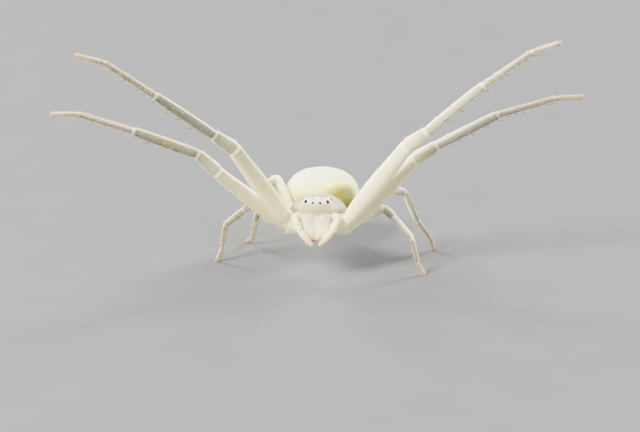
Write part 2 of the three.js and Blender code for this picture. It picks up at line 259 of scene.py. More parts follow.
LEG_COLOURS = [
    (0.0, (0.095, 0.093, 0.068)),
    (0.3, (0.35, 0.33, 0.2)),
    (0.6, (0.92, 0.81, 0.36)),
    (1.0, (0.99, 0.95, 0.6)),
]
HEAD_COLOURS = [
    (0.0, (0.13, 0.12, 0.06)),
    (0.5, (0.33, 0.29, 0.125)),
    (1.0, (0.96, 0.88, 0.5)),
]
ABDOMEN_COLOURS = [
    (0.0, (0.15, 0.14, 0.0)),
    (0.3, (0.42, 0.4, 0.03)),
    (0.6, (0.97, 0.92, 0.25)),
    (1.0, (0.995, 0.985, 0.64)),
]
JAW_COLOURS = [
    (0.0, (0.42, 0.12, 0.02)),
    (0.16, (0.84, 0.62, 0.26)),
    (0.5, (0.84, 0.78, 0.48)),
    (1.0, (0.56, 0.51, 0.29)),
]
MOUND_COLOURS = [
    (0.0, (0.09, 0.035, 0.01)),
    (0.35, (0.7, 0.46, 0.15)),
    (0.6, (0.99, 0.95, 0.66)),
    (1.0, (0.99, 0.97, 0.74)),
]
WARM_COLOUR = (0.55, 0.24, 0.07)
DOT_COLOUR = (0.45, 0.15, 0.03)
PIT_COLOUR = (0.5, 0.43, 0.14)
JAW_LINE_COLOUR = (0.98, 0.94, 0.7)

# Curves and frames


def smooth(values, t):
    """Values on a smooth curve through evenly spaced stations, at t from 0 to 1."""
    values = np.asarray(values, float)
    padded = np.concatenate([values[:1], values, values[-1:]])
    place = np.clip(t, 0, 1) * (len(values) - 1)
    i = np.minimum(place.astype(int), len(values) - 2)
    f = place - i
    if values.ndim > 1:
        f = f[:, None]
    a, b, c, d = (padded[i + k] for k in range(4))
    return 0.5 * (2 * b + (c - a) * f + (2 * a - 5 * b + 4 * c - d) * f**2 + (3 * b - a - 3 * c + d) * f**3)


def rotation(angle, axis):
    c, s = math.cos(angle), math.sin(angle)
    if axis == "X":
        return np.array([[1, 0, 0], [0, c, -s], [0, s, c]])
    return np.array([[c, -s, 0], [s, c, 0], [0, 0, 1]])


BODY = rotation(-REAR_TO_RIGHT, "Z") @ rotation(-HEAD_UP, "X")


def from_body(points):
    return np.asarray(points, float) @ BODY.T + SHOULDER


def on_side(points, side):
    """Points given for the +X side of the body, put on either side."""
    return from_body(np.array(points) * (side, 1, 1))


def unit(v):
    return v / np.linalg.norm(v, axis=-1, keepdims=True)


def angles_around(count):
    return np.linspace(0, TURN, count, endpoint=False)


def circle(count, across, over):
    """Points round the origin, with two radii as vectors."""
    angle = angles_around(count)[:, None]
    return np.cos(angle) * across + np.sin(angle) * over


def angles_between(start, end, count):
    """Evenly spaced angles between two, without the two."""
    return np.linspace(start, end, count + 2)[1:-1]


def bell(v, width, power=2):
    """1 at 0, falling off smoothly to nothing past the width on both sides."""
    return np.exp(-((v / width) ** power))


def below(v, width):
    """1 well below 0 and nothing well above it, with a soft step between."""
    return 1 / (1 + np.exp(v / width))


def rounded(wave, power):
    """A cosine or sine bent to a squarer or rounder outline."""
    return np.sign(wave) * np.abs(wave) ** power


# Meshes


def closed(rings):
    """Points and faces of a closed skin over rings of points, with a fan to a point at each end."""
    count, around = rings.shape[:2]
    r = np.arange(count - 1)[:, None] * around
    i = np.arange(around)[None]
    j = (i + 1) % around
    quads = np.stack([r + i, r + j, r + around + j, r + around + i], -1).reshape(-1, 4).tolist()
    first = count * around
    last_ring = first - around
    fans = [[(k + 1) % around, k, first] for k in range(around)]
    fans += [[last_ring + k, last_ring + (k + 1) % around, first + 1] for k in range(around)]
    ends = np.stack([rings[0].mean(0), rings[-1].mean(0)])
    return np.concatenate([rings.reshape(-1, 3), ends]), quads + fans


def with_ends(values):
    """Values for all points of a closed skin, from those of its rings."""
    return np.append(values.ravel(), [values[0].mean(), values[-1].mean()])


def joined(parts):
    """One mesh from many, each given by its points and faces."""
    starts = np.cumsum([0] + [len(points) for points, faces in parts])
    faces = [[v + start for v in face] for start, part in zip(starts, parts) for face in part[1]]
    return np.concatenate([points for points, faces in parts]), faces


def linked(name, data):
    """An object in the scene with a mesh, light or camera."""
    item = bpy.data.objects.new(name, data)
    bpy.context.collection.objects.link(item)
    return item


def add_piece(name, vertices, faces, material, slot, replaces=(), colours=None):
    mesh = bpy.data.meshes.new(name)
    mesh.from_pydata((vertices * MM).tolist(), [], faces, shade_flat=False)
    mesh.materials.append(material)
    if colours is not None:
        layer = mesh.attributes.new("tint", "FLOAT_COLOR", "POINT")
        layer.data.foreach_set("color", colours.ravel())
    piece = linked(name, mesh)
    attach(piece, "root")
    if replaces:
        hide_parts(*replaces)
    return piece


# Flesh is gathered part by part, then joined into one skin

flesh = []
marks = []  # small dots and pits: a place, a radius, a colour and a depth


def add_flesh(vertices, faces, colours, *nodes):
    flesh.append((vertices, faces, np.broadcast_to(colours, (len(vertices), 4)), nodes))


def shade(stops, tone, warm=0.0, gloss=1.0):
    """Colours of tones along stops, turned to the warm colour in part, with gloss as a fourth channel."""
    places, colours = zip(*stops)
    colours = np.stack([np.interp(tone, places, channel) for channel in zip(*colours)], -1)
    colours = colours + np.asarray(warm)[..., None] * (WARM_COLOUR - colours)
    return np.append(colours, np.full_like(colours[..., :1], gloss), -1)


def remeshed(points, faces):
    """Points, edges and quads of one even closed surface round a mesh."""
    mesh = bpy.data.meshes.new("flesh")
    mesh.from_pydata(points.tolist(), [], faces)
    rough = linked("flesh", mesh)
    remesh = rough.modifiers.new("joined", "REMESH")
    remesh.mode = "VOXEL"
    remesh.voxel_size = SKIN_VOXEL
    done = rough.evaluated_get(bpy.context.evaluated_depsgraph_get()).to_mesh()
    points = np.zeros(3 * len(done.vertices))
    done.vertices.foreach_get("co", points)
    edges = np.zeros(2 * len(done.edges), int)
    done.edges.foreach_get("vertices", edges)
    quads = [list(face.vertices) for face in done.polygons]
    bpy.data.objects.remove(rough)
    return points.reshape(-1, 3), edges.reshape(-1, 2), quads


def nearby_colours(points, source, colours):
    """Colours for points, from the three nearest points of a coloured mesh."""
    tree = KDTree(len(source))
    for i, place in enumerate(source):
        tree.insert(place, i)
    tree.balance()
    nearest = np.array([[hit[1] for hit in tree.find_n(place, 3)] for place in points])
    off = np.linalg.norm(source[nearest] - points[:, None], axis=2)
    weight = 1 / (off + 0.004)
    return (colours[nearest] * weight[..., None]).sum(1) / weight.sum(1)[:, None]


def joined_flesh():
    """One closed skin round all the flesh, with soft folds where parts meet near the body."""
    source, faces = joined([part[:2] for part in flesh])
    points, edges, quads = remeshed(source, faces)
    tint = nearby_colours(points, source, np.concatenate([part[2] for part in flesh]))
    corners = np.array(quads)
    one, other = edges.T
    counts = np.bincount(edges.ravel())[:, None]

    def pull(values):
        """How far each point's value is from the mean of its neighbours'."""
        sums = [np.bincount(one, v[other], len(v)) + np.bincount(other, v[one], len(v)) for v in values.T]
        return np.stack(sums, 1) / counts - values

    def normals():
        a, b, c, d = (points[corner] for corner in corners.T)
        flat = np.cross(c - a, d - b)
        totals = [sum(np.bincount(corner, v, len(points)) for corner in corners.T) for v in flat.T]
        return unit(np.stack(totals, 1) + 1e-12)

    def smoothed(values, steps):
        for step in steps:
            values = values + step * pull(values)
        return values

    points = smoothed(points, SMOOTHING * 6)
    # Folds between parts are filled a little, like the soft skin that joins them
    near = below(np.linalg.norm((points - SHOULDER) * (1, 0.8, 1), axis=1) - FOLD_REACH, FOLD_EDGE)
    for _ in range(FOLD_ROUNDS):
        way = pull(points)
        fold = (way * normals()).sum(1)
        amount = near * np.clip(fold / (FOLD_DEPTH * SKIN_VOXEL), 0, 1) * FOLD_STEP
        points = points + amount[:, None] * way
    points = smoothed(points, SMOOTHING * 3)
    tint = smoothed(tint, SMOOTHING[:1] * 3)
    outward = normals()
    for place, radius, colour, depth in marks:
        share = bell(np.linalg.norm(points - place, axis=1), radius, 4)[:, None]
        tint[:, :3] += MARK_STRENGTH * share * (colour - tint[:, :3])
        points = points - depth * share * outward
    return points, quads, tint


def eased(rings, times):
    """Rings with their points evened out along and around."""
    for _ in range(times):
        around = (np.roll(rings, 1, 1) + np.roll(rings, -1, 1)) / 4 + rings / 2
        rings = around.copy()
        rings[1:-1] = (around[:-2] + around[2:]) / 4 + around[1:-1] / 2
    return rings


# Materials


def new_material(name):
    """A material, its node tree and its shader."""
    material = bpy.data.materials.new(name)
    material.use_nodes = True
    return material, material.node_tree, material.node_tree.nodes["Principled BSDF"]


def set_inputs(node, **values):
    for key, value in values.items():
        node.inputs[key.replace("_", " ")].default_value = value


def noise_node(tree, scale, detail, roughness=0.5):
    place = tree.nodes.new("ShaderNodeTexCoord")
    noise = tree.nodes.new("ShaderNodeTexNoise")
    set_inputs(noise, Scale=scale, Detail=detail, Roughness=roughness)
    tree.links.new(place.outputs["Object"], noise.inputs["Vector"])
    return noise.outputs["Fac"]


def ramp_colour(tree, value, stops):
    """The colour that a value picks along stops."""
    ramp = tree.nodes.new("ShaderNodeValToRGB")
    elements = ramp.color_ramp.elements
    while len(elements) > 1:
        elements.remove(elements[-1])
    elements[0].position, elements[0].color = stops[0][0], (*stops[0][1], 1)
    for position, colour in stops[1:]:
        elements.new(position).color = (*colour, 1)
    tree.links.new(value, ramp.inputs["Fac"])
    return ramp.outputs["Color"]


def multiplied(tree, first, second):
    """The product of two colours."""
    mix = tree.nodes.new("ShaderNodeMix")
    mix.data_type = "RGBA"
    mix.blend_type = "MULTIPLY"
    mix.inputs["Factor"].default_value = 1
    tree.links.new(first, mix.inputs["A"])
    tree.links.new(second, mix.inputs["B"])
    return mix.outputs["Result"]


def ranged(tree, value, low, high):
    """A value from 0 to 1, spread from low to high."""
    spread = tree.nodes.new("ShaderNodeMapRange")
    set_inputs(spread, To_Min=low, To_Max=high)
    tree.links.new(value, spread.inputs["Value"])
    return spread.outputs["Result"]


def skin_material():
    """Living cuticle tinted by its mesh, mottled, with light scattered under the surface."""
    material, tree, shader = new_material("cuticle")
    tint = tree.nodes.new("ShaderNodeAttribute")
    tint.attribute_name = "tint"
    patches = noise_node(tree, 2600, 4)
    clouds = noise_node(tree, 900, 3)
    shades = ramp_colour(tree, patches, [(0.35, (0.9, 0.9, 0.86)), (0.65, (1, 1, 1))])
    hue = ramp_colour(tree, clouds, [(0.4, (1, 0.985, 0.93)), (0.6, (0.985, 1, 1))])
    colour = multiplied(tree, tint.outputs["Color"], shades)
    tree.links.new(multiplied(tree, colour, hue), shader.inputs["Base Color"])
    bump = tree.nodes.new("ShaderNodeBump")
    set_inputs(bump, Strength=0.3, Distance=0.00002)
    tree.links.new(noise_node(tree, 16000, 3, 0.6), bump.inputs["Height"])
    tree.links.new(bump.outputs["Normal"], shader.inputs["Normal"])
    # Roughness varies with the patches, and falls as the tint's gloss rises
    roughness = tree.nodes.new("ShaderNodeMath")
    tree.links.new(ranged(tree, patches, -0.06, 0.08), roughness.inputs[0])
    tree.links.new(ranged(tree, tint.outputs["Alpha"], 0.62, 0.34), roughness.inputs[1])
    tree.links.new(roughness.outputs["Value"], shader.inputs["Roughness"])
    set_inputs(
        shader,
        Specular_IOR_Level=0.38,
        Subsurface_Weight=0.5,
        Subsurface_Radius=(1.0, 0.92, 0.6),
        Subsurface_Scale=0.2 * MM,
        Sheen_Weight=0.22,
        Sheen_Roughness=0.3,
        Sheen_Tint=(1, 0.93, 0.72, 1),
    )
    return material


def cloudy(name, scale, stops):
    """A material with a softly varied colour, and its shader."""
    material, tree, shader = new_material(name)
    colour = ramp_colour(tree, noise_node(tree, scale, 2), stops)
    tree.links.new(colour, shader.inputs["Base Color"])
    return material, shader


def glossy(name, colour, roughness, coat):
    lighter = tuple(1.6 * c + 0.004 for c in colour)
    material, shader = cloudy(name, 9000, [(0.3, colour), (0.8, lighter)])
    set_inputs(shader, Roughness=roughness, Coat_Weight=coat, Coat_Roughness=0.05, Specular_IOR_Level=0.3)
    return material


def hair_material(name, colour):
    darker = tuple(0.8 * c for c in colour)
    material, shader = cloudy(name, 5000, [(0.3, darker), (0.7, colour)])
    set_inputs(
        shader,
        Roughness=0.4,
        Subsurface_Weight=0.3,
        Subsurface_Radius=(1, 1, 0.8),
        Subsurface_Scale=0.05 * MM,
    )
    return material


SKIN_MATERIAL = skin_material()
LENS_MATERIAL = glossy("eye_lens", (0.004, 0.003, 0.002), 0.12, 0.0)
FANG_MATERIAL = glossy("fang_horn", (0.42, 0.12, 0.02), 0.25, 0.5)
CLAW_MATERIAL = glossy("claw_horn", (0.12, 0.06, 0.025), 0.3, 0.4)
PALE_HAIR = hair_material("pale_hair", (0.86, 0.82, 0.62))
GOLDEN_HAIR = hair_material("golden_hair", (0.55, 0.4, 0.2))
BROWN_HAIR = hair_material("brown_hair", (0.36, 0.14, 0.04))
SPINE_HORN = hair_material("spine_horn", (0.06, 0.034, 0.014))

# Hairs: thin three-sided spikes, each bent a little along the skin

HAIR_PATCH = 0.003  # how wide a hair is on the unwrap
HAIR_QUADS = np.array([(i, (i + 1) % 3, 3 + (i + 1) % 3, 3 + i) for i in range(3)])
HAIR_TIPS = np.array([(3 + i, 3 + (i + 1) % 3, 6) for i in range(3)])
HAIR_CORNERS = np.array([(0, 0), (1, 0), (0.5, 1), (0, 0.4), (1, 0.4), (0.5, 0.8), (0.5, 0.6)]) - 0.5
ROOT_REACH = 0.09  # how far from the finished skin a root may lie
ROOT_AGREEMENT = 0.3  # how well the skin's normal there agrees with the hair's own


class Coat:
    """Hairs gathered for one mesh, rooted in the finished skin."""

    def __init__(self, name, material, slot):
        self.name, self.material, self.slot = name, material, slot
        self.hairs = []

    def grow(self, roots, normals, along, lengths, radius, lean, maps, scatter=0.15):
        """lean: 0 stands straight up from the skin, 1 lies along it."""
        sizes = [np.broadcast_to(size, len(roots)) for size in (lengths, radius, lean, scatter)]
        self.hairs.append(np.column_stack([roots, normals, along, *sizes, maps]))

    def finish(self, skin):
        """Makes the mesh. Hairs whose roots another part covers are left out."""
        kept = []
        for row in np.concatenate(self.hairs):
            place, normal, face, off = skin.find_nearest(row[:3].tolist())
            if off < ROOT_REACH and np.dot(normal, row[3:6]) > ROOT_AGREEMENT:
                kept.append([*place, *normal, *row[6:]])
        rows, n = np.array(kept), len(kept)
        roots, normals, along = rows[:, :3], rows[:, 3:6], unit(rows[:, 6:9])
        lengths, radius, lean, scatter = (rows[:, k : k + 1] for k in range(9, 13))
        maps = rows[:, 13:15]
        way = unit(normals * (1 - lean) + along * lean + scatter * rng.normal(0, 1, (n, 3)))
        later = unit(way + 0.35 * along - 0.1 * normals)
        side = unit(np.cross(way, rng.normal(0, 1, (n, 3))))
        other = np.cross(way, side)
        roots = roots - normals * radius * 1.5
        points = []
        for step, wide in ((0.0, 1.0), (0.5, 0.72)):
            middle = roots + way * lengths * step
            for k in range(3):
                angle = TURN * k / 3
                points.append(middle + radius * wide * (math.cos(angle) * side + math.sin(angle) * other))
        points.append(roots + way * lengths * 0.5 + later * lengths * 0.5)
        points = np.stack(points, 1)
        points[..., 2] = np.maximum(points[..., 2], 0)
        base = np.arange(n)[:, None, None] * 7
        quads = (base + HAIR_QUADS).reshape(-1, 4).tolist()
        tips = (base + HAIR_TIPS).reshape(-1, 3).tolist()
        piece = add_piece(self.name, points.reshape(-1, 3), quads + tips, self.material, self.slot)
        per_point = (maps[:, None] + HAIR_PATCH * HAIR_CORNERS).reshape(-1, 2)
        loops = np.zeros(len(piece.data.loops), int)
        piece.data.loops.foreach_get("vertex_index", loops)
        layer = piece.data.uv_layers.new(name="OFBake")
        layer.data.foreach_set("uv", np.clip(per_point[loops], 0.001, 0.999).ravel())


# The unwrap is a sheet of strips, one for each skin: across is around the skin, up is along it.
STRIPS = 14
ABDOMEN_STRIP = 12
HEAD_STRIP = 13


def strip_map(strip, along, angle):
    """A place on the unwrap, for shares along and around a skin."""
    across = (strip + 0.05 + 0.9 * (angle / TURN % 1)) / STRIPS
    return np.stack([across, 0.02 + 0.96 * np.clip(along, 0, 1)], -1)


# Tubes: legs and palps


def between(s, stations, values):
    """Rows of values at places between stations."""
    return np.stack([np.interp(s, stations, column) for column in values.T], 1)


class Tube:
    """A bent round skin through joints, with a waist at each joint."""

    STEP = 0.05
    CAP_RINGS = 4
    HUMP_LENGTH = 0.4

    def __init__(self, joints, radii, swelling, sides, waist=0.94, flatness=0.94, bend=0.1, hump=(0, 0)):
        joints = np.asarray(joints, float)
        spans = np.linalg.norm(np.diff(joints, axis=0), axis=1)
        reach = np.concatenate([[0], np.cumsum(spans)])
        self.reach, self.length, self.sides, self.flatness = reach, reach[-1], sides, flatness
        s = np.linspace(0, self.length, max(int(self.length / self.STEP), 12))
        path = between(s, reach, joints)
        spread = bend / (s[1] - s[0])
        half = int(3 * spread)
        kernel = np.exp(-0.5 * (np.arange(-half, half + 1) / spread) ** 2)
        kernel /= kernel.sum()
        lead = path[0] - (path[1] - path[0]) * np.arange(half, 0, -1)[:, None]
        trail = path[-1] + (path[-1] - path[-2]) * np.arange(1, half + 1)[:, None]
        long = np.concatenate([lead, path, trail])
        self.path = np.stack([np.convolve(column, kernel, "valid") for column in long.T], 1)
        self.s = s  # distances of the stations from the root
        part = np.clip(np.searchsorted(reach, s, "right") - 1, 0, len(radii) - 1)
        share = (s - reach[part]) / spans[part]
        radius = np.zeros(len(s))
        for k, (r, shares) in enumerate(zip(radii, swelling)):
            radius[part == k] = r * smooth(shares, share[part == k])
        for k in range(1, len(radii)):
            width = 0.55 * min(radii[k - 1], radii[k]) + 0.05
            radius *= 1 - (1 - waist) * bell(s - reach[k], width)
        blur = np.exp(-0.5 * (np.arange(-3, 4) / 1.2) ** 2)
        self.radius = np.convolve(np.pad(radius, 3, "edge"), blur / blur.sum(), "valid")
        top, height = hump
        self.hump = height * bell(s - top, self.HUMP_LENGTH)
        tangent = unit(np.gradient(self.path, axis=0))
        across = unit(np.cross([0, 0, 1.0], tangent))
        self.tangent, self.across, self.over = tangent, across, np.cross(tangent, across)

    def at(self, s, angle):
        """Points, normals and directions towards the tip, at places along and around the skin."""
        tracks = (self.path, self.across, self.over, self.tangent)
        middle, across, over, tangent = (between(s, self.s, track) for track in tracks)
        radius = np.interp(s, self.s, self.radius)[:, None]
        c, d = np.cos(angle)[:, None], np.sin(angle)[:, None]
        d = np.where(d > 0, d * (1 + np.interp(s, self.s, self.hump)[:, None]), d)
        normal = unit(c * across / self.flatness + d * over)
        return middle + radius * (self.flatness * c * across + d * over), normal, tangent

    def rings(self):
        angle = angles_around(self.sides)
        c, d = np.cos(angle)[None, :, None], np.sin(angle)[None, :, None]
        raised = np.where(d > 0, d * (1 + self.hump[:, None, None]), d)

        def ring(m, a, o, r, up=d):
            return m[:, None] + r[:, None, None] * (self.flatness * c * a[:, None] + up * o[:, None])

        rings = ring(self.path, self.across, self.over, self.radius, raised)
        caps = []
        for end, sign in ((0, -1), (-1, 1)):
            turn = angles_between(0, QUARTER_TURN, self.CAP_RINGS)
            out = self.path[end] + sign * self.radius[end] * np.sin(turn)[:, None] * self.tangent[end]
            a = np.repeat(self.across[end][None], len(turn), 0)
            o = np.repeat(self.over[end][None], len(turn), 0)
            caps.append(ring(out, a, o, self.radius[end] * np.cos(turn)))
        return np.concatenate([caps[0][::-1], rings, caps[1]])

    def spread(self, values):
        """Values for all points of the closed tube, from one for each station or each station's points."""
        if values.ndim == 1:
            values = np.repeat(values[:, None], self.sides, 1)
        return with_ends(np.pad(values, ((self.CAP_RINGS, self.CAP_RINGS), (0, 0)), "edge"))


def leg_joints(kind, side_name):
    side = SIDES[side_name]
    inner, outer = (on_side(point, side) for point in LEG_ROOTS[kind])
    joints = [inner, inner + (outer - inner) * HIP_SHARE, outer]
    poses = LEG_POSES[f"{kind}_{side_name}"]
    for part, (forward, up), length in zip(range(FEMUR, TIP), poses, LEG_LENGTHS[kind]):
        f, u = math.radians(forward), math.radians(up)
        if part == TARSUS and kind not in LONG_LEGS:
            u = -math.asin(min(joints[-1][2] / length, 1))
        way = np.array([side * math.cos(u) * math.cos(f), -math.cos(u) * math.sin(f), math.sin(u)])
        joints.append(joints[-1] + length * way)
    return joints


hairs = Coat("leg_hairs", PALE_HAIR, "leg_skin")
golden = Coat("leg_fuzz", GOLDEN_HAIR, "leg_skin")
spines = Coat("leg_spines", SPINE_HORN, "leg_skin")
bristles = Coat("leg_bristles", PALE_HAIR, "leg_skin")
brown = Coat("brown_hairs", BROWN_HAIR, "leg_skin")


def along_part(tube, part, shares):
    """Distances along a tube, for shares of one of its segments."""
    return tube.reach[part] + (tube.reach[part + 1] - tube.reach[part]) * np.asarray(shares)


def random_places(tube, part, number, angles=(0, TURN), within=(0.04, 0.98)):
    s = along_part(tube, part, rng.uniform(*within, number))
    return s, rng.uniform(*angles, number)


def grow_along(tube, strip, coat, s, angle, length, radius, lean, scatter=0.15):
    """Hairs at places along and around a tube."""
    maps = strip_map(strip, s / tube.length, angle)
    coat.grow(*tube.at(s, angle), length, radius, lean, maps, scatter)


def leg_hairs(tube, kind, side_name, strip):
    long_leg = kind in LONG_LEGS
    under = -QUARTER_TURN
    to_front = -SIDES[side_name]
    grow = partial(grow_along, tube, strip)
    for part, density in HAIR_DENSITY.items():
        number = int(density * (tube.reach[part + 1] - tube.reach[part]))
        s, angle = random_places(tube, part, number)
        coat = golden if part in GOLDEN_LENGTHS else hairs
        length = GOLDEN_LENGTHS.get(part, HAIR_LENGTH) * rng.uniform(0.6, 1.3, number)
        grow(coat, s, angle, length, radius=0.007, lean=rng.uniform(0.5, 0.78, number))
    # Fringe under the hip, which hangs in the light
    for part, end in ((COXA, 0.95), (TROCHANTER, 0.95), (FEMUR, 0.3)):
        number = 26 if long_leg else 14
        s, angle = random_places(tube, part, number, (under - 0.6, under + 0.6), (0.05, end))
        grow(hairs, s, angle, 0.16 * rng.uniform(0.7, 1.2, number), radius=0.009, lean=0.45)
    # Stout bristles: a few on top of femur, patella and tibia
    size = 0.22 if long_leg else 0.2
    for part, shares in ((FEMUR, (0.3, 0.62)), (PATELLA, (0.14, 0.86)), (TIBIA, (0.2,))):
        s = along_part(tube, part, shares)
        angle = QUARTER_TURN + rng.normal(0, 0.2, len(s))
        grow(bristles, s, angle, size, radius=0.011, lean=0.45, scatter=0.06)
    # Rows of dark spines under tibia and metatarsus, lying forward along the leg
    size, radius = (0.42, 0.022) if long_leg else (0.2, 0.013)
    for part, start, pairs in ((TIBIA, 0.3, 4 if long_leg else 2), (METATARSUS, 0.12, 7 if long_leg else 2)):
        for turn, lean in ((1.2 * to_front, 0.8), (-0.1 * to_front, 0.52)):
            s = along_part(tube, part, np.linspace(start, 0.93, pairs) + rng.normal(0, 0.012, pairs))
            grow(spines, s, np.full(pairs, under + turn), size, radius, lean, scatter=0.05)
    # Tuft under the claws
    s, angle = random_places(tube, TARSUS, 70, within=(0.82, 1.0))
    grow(brown, s, angle, 0.13 * rng.uniform(0.6, 1.3, 70), radius=0.008, lean=0.62, scatter=0.25)


def add_claws(tube, name):
    """Two hooked claws, lifted clear of the floor."""
    way, across, over = tube.tangent[-1], tube.across[-1], tube.over[-1]
    tip = tube.path[-1] + way * tube.radius[-1] * 0.6
    turn = np.linspace(0, 1, 9)
    radius = 0.018 * (1 - turn) ** 0.7 + 0.002
    claws = []
    for side in (-1, 1):
        centre = (
            tip
            + side * across * (0.035 + 0.02 * turn[:, None])
            + way * 0.13 * np.sin(1.5 * turn)[:, None]
            + over * (0.05 * np.sin(math.pi * turn) - 0.07 * turn**2)[:, None]
        )
        claws.append(closed(centre[:, None] + radius[:, None, None] * circle(8, across, over)))
    points, faces = joined(claws)
    lift = max(0, CLAW_CLEARANCE - points[:, 2].min())
    add_piece(f"claws_{name}", points + (0, 0, lift), faces, CLAW_MATERIAL, "leg_skin")


def build_leg(kind, side_name, strip):
    name = f"{kind}_{side_name}"
    joints = leg_joints(kind, side_name)
    knee = sum(np.linalg.norm(np.subtract(joints[k + 1], joints[k])) for k in range(PATELLA))
    tube = Tube(joints, LEG_RADII[kind], SWELLING.values(), LEG_AROUND, hump=(knee + 0.2, KNEE_HUMP))
    # Cream at the hip, glassy and greyer along the leg, pale in a ring at each joint, and pale on top and
    # below as painted rim light
    reach = tube.reach
    middle = np.interp(tube.s, reach[list(LEG_TONES)], list(LEG_TONES.values()))
    # Painted light on the left legs and painted shade on the right ones, growing along the femur to full from
    # the tibia on
    middle += LEG_SIDE_PAINTED_LIGHT.get(name, 0) * np.clip((tube.s - reach[FEMUR]) / (reach[TIBIA] - reach[FEMUR]), 0, 1)
    ends = np.min(np.abs(tube.s[:, None] - reach[None, PATELLA:TIP]), axis=1)
    joint = 0.34 * bell(ends, 0.045) - 0.05 * bell(ends - 0.16, 0.07)
    # Painted rim light: pale along the top and bottom edges of the leg
    painted_rim_light = 0.7 * np.abs(np.sin(angles_around(tube.sides))) ** 6
    tone = tube.spread((middle + joint)[:, None] + painted_rim_light)
    warm = tube.spread(0.32 * bell(tube.s - tube.length, 0.3))
    points, faces = closed(tube.rings())
    if kind not in LONG_LEGS:
        points[:, 2] = np.maximum(points[:, 2], 0)
    colours = shade(LEG_COLOURS, tone, warm)
    # Painted light: the lit left legs get a whiter, bluer cast
    if side_name == "left":
        colours[:, 2] *= LIT_LEGS_BLUE
    add_flesh(points, faces, colours, name)
    add_claws(tube, name)
    leg_hairs(tube, kind, side_name, strip)
    if name == "leg2_right":
        spot = tube.at([reach[FEMUR] + 0.8], [0.0])[0][0]
        marks.append((spot, 0.045, DOT_COLOUR, 0))


strip = 0
for kind in LEG_LENGTHS:
    for side_name in SIDES:
        build_leg(kind, side_name, strip)
        strip += 1

# Body surfaces: superellipses across the body


def body_rings(plan, widest, fullness, around, steps, front_bulge=0.05, rear_bulge=0.05):
    """Rings in the body's frame from stations of y, half width, top and bottom, domed at both ends."""
    plan = np.asarray(plan, float)
    reach = np.concatenate([[0], np.cumsum(np.linalg.norm(np.diff(plan[:, :3], axis=0), axis=1))])
    stations = np.interp(np.linspace(0, reach[-1], steps), reach, np.linspace(0, 1, len(plan)))
    rows = smooth(plan, stations)
    turn = angles_between(0, QUARTER_TURN, 10)
    angle = angles_around(around)
    c, s = rounded(np.cos(angle), 2 / fullness), rounded(np.sin(angle), 2 / fullness)

    def ring(row, scale=1.0, shift=0.0):
        y, half, top, bottom = row
        level = widest(top, bottom)
        middle = (top + bottom) / 2
        z = level + np.where(s > 0, top - level, level - bottom) * s
        return np.stack([half * c * scale, np.full(around, y + shift), middle + (z - middle) * scale], 1)

    front = [ring(rows[0], math.cos(t), -front_bulge * math.sin(t)) for t in turn[::-1]]
    rear = [ring(rows[-1], math.cos(t), rear_bulge * math.sin(t)) for t in turn]
    return np.stack(front + [ring(row) for row in rows] + rear)


def outward_normals(rings):
    """Normals of a grid of rings, pointing away from its middle."""
    along = np.gradient(rings, axis=0)
    around = np.roll(rings, -1, 1) - np.roll(rings, 1, 1)
    normals = unit(np.cross(around, along))
    inward = ((rings - rings.mean((0, 1))) * normals).sum(-1).mean() < 0
    return -normals if inward else normals


# Head and thorax

carapace = body_rings(
    [(y, half, top, CARAPACE_EDGE) for y, half, top in CARAPACE_PLAN],
    lambda top, bottom: CARAPACE_MIDDLE,
    CARAPACE_FULLNESS,
    around=96,
    steps=90,
    front_bulge=0.12,
)
carapace = eased(carapace, 22)
outward = outward_normals(carapace)

eyes = {}
for pair, (lens, mound) in EYE_PAIRS.items():
    for side_name, side in SIDES.items():
        node = f"eye_{pair}_{side_name}"
        low, high = (np.array(corner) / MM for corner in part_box(node))
        centre = ((low + high) / 2 - SHOULDER) @ BODY
        way = unit(centre - HEAD_MIDDLE)
        if pair in EYE_TURNS:
            way = unit(way + np.array(EYE_TURNS[pair]) * (side, 1, 1))
        eyes[node] = (centre, way, lens, mound)

# The skin rises to the eyes, and dips behind the head, in the middle of the thorax and in the furrows
x, y, z = np.moveaxis(carapace, -1, 0)
lift = 0
for centre, way, lens, mound in eyes.values():
    lift = lift + EYE_LIFT * bell(np.linalg.norm(carapace - centre, axis=-1), 1.3 * mound)
neck = NECK_DEPTH * bell(y + 0.25 - 0.35 * np.abs(x), 0.16) * (z > 0.3) * bell(x, 1.0, 4)
fovea = FOVEA_DEPTH * np.exp(-((y - 0.35) / 0.3) ** 2 - (x / 0.06) ** 2)
furrows = 0
for forward in FURROWS:
    ahead, aside = -math.cos(math.radians(forward)), math.sin(math.radians(forward))
    out = np.abs(x) * aside + (y - FURROW_CENTRE) * ahead
    off = np.abs(x) * ahead - (y - FURROW_CENTRE) * aside
    furrows = furrows + bell(off, 0.07) * bell(out - 0.72, 0.42, 4)
furrows = furrows * (z > 0)
carapace = carapace + outward * (lift - neck - fovea - FURROW_DEPTH * furrows)[..., None]

# Paler on top, with painted shade darkening the furrows
x, y, z = np.moveaxis(carapace, -1, 0)
tone = 0.46 + 0.1 * np.clip((z - 0.3) / 0.5, -1, 1) - 0.07 * furrows
# A pale band along the back, a paler face and a darker rim
tone += 0.12 * bell(x, 0.3 + 0.1 * y, 4) * (y > -0.9) * (z > 0.2)
tone += 0.1 * below(y + 1.25, 0.08) - 0.1 * np.clip((np.abs(x) - 0.75) / 0.3, 0, 1) * (y < 0)
# White between the eyes, partly the mounds' own white and partly painted light from above, and a painted
# shadow as a dark patch behind them
tone += 0.5 * bell(z - 0.58, 0.15, 4) * bell(x, 0.66, 6) * (y < -1.02)
# Painted shadow behind the eye row
tone -= 0.35 * bell(y + 0.9, 0.12) * bell(x, 0.5, 4) * (z > 0.4)
add_flesh(*closed(from_body(carapace)), shade(HEAD_COLOURS, with_ends(tone), gloss=0.35), "carapace")


